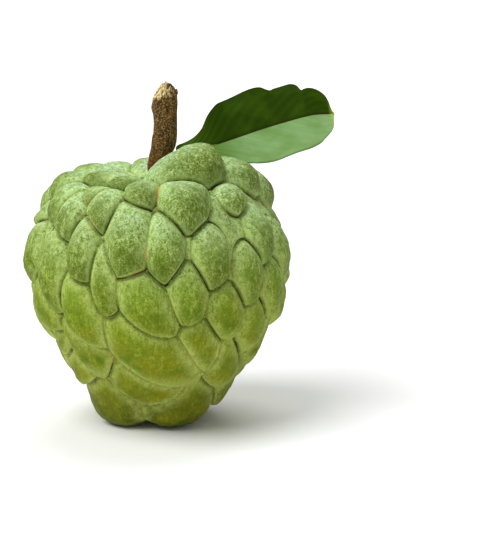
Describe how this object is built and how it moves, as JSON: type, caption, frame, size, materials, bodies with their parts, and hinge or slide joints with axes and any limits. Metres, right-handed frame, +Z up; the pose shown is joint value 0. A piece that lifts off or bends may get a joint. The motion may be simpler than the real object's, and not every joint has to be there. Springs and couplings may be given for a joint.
{
  "type": "custard apple",
  "caption": "Whole heart-shaped custard apple with scaly green skin, a short woody stem and a leaf.",
  "frame": {"origin": "on the ground under the middle of the fruit", "axes": "+Z up along the fruit's core towards the stem, -Y towards the front, +X the side the leaf reaches out to"},
  "size_m": [0.1196, 0.1021, 0.1306],
  "materials": {
    "skin": "matt green skin with a pale bloom and brown creases",
    "bark": "rough brown bark, torn pale wood at the end",
    "leaf": "smooth green leaf with a soft sheen"
  },
  "bodies": {
    "root": {"fruit": "skin", "stem": "bark", "leaf": "leaf"}
  },
  "joints": []
}
